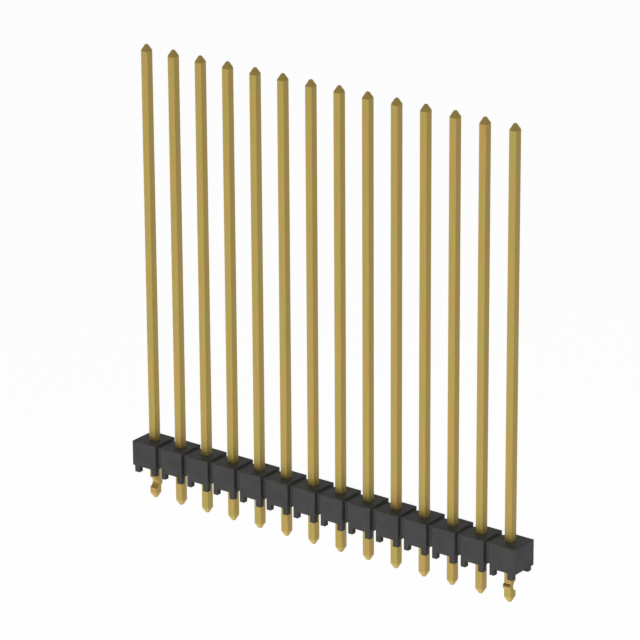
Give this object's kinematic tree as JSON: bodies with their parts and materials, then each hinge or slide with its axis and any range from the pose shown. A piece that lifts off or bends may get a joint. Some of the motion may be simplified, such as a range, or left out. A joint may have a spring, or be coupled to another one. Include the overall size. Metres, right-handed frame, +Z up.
{
  "type": "pin header strip",
  "caption": "Single-row breakaway pin header: black insulator strip on small corner feet with long square gold contact posts, short solder tails and a kinked locking tail at each end.",
  "frame": {"origin": "middle of the contact row, on the board plane that the insulator's feet stand on", "axes": "+Z up along the posts, away from the board; +X along the row from the first contact to the last; -Y is the front"},
  "size_m": [0.0356, 0.0024, 0.0363],
  "materials": {
    "insulator": "matte",
    "contact": "satin"
  },
  "bodies": {
    "root": {"insulator": "insulator", "pin_01": "contact", "pin_02": "contact", "pin_03": "contact", "pin_04": "contact", "pin_05": "contact", "pin_06": "contact", "pin_07": "contact", "pin_08": "contact", "pin_09": "contact", "pin_10": "contact", "pin_11": "contact", "pin_12": "contact", "pin_13": "contact", "pin_14": "contact"}
  },
  "joints": []
}
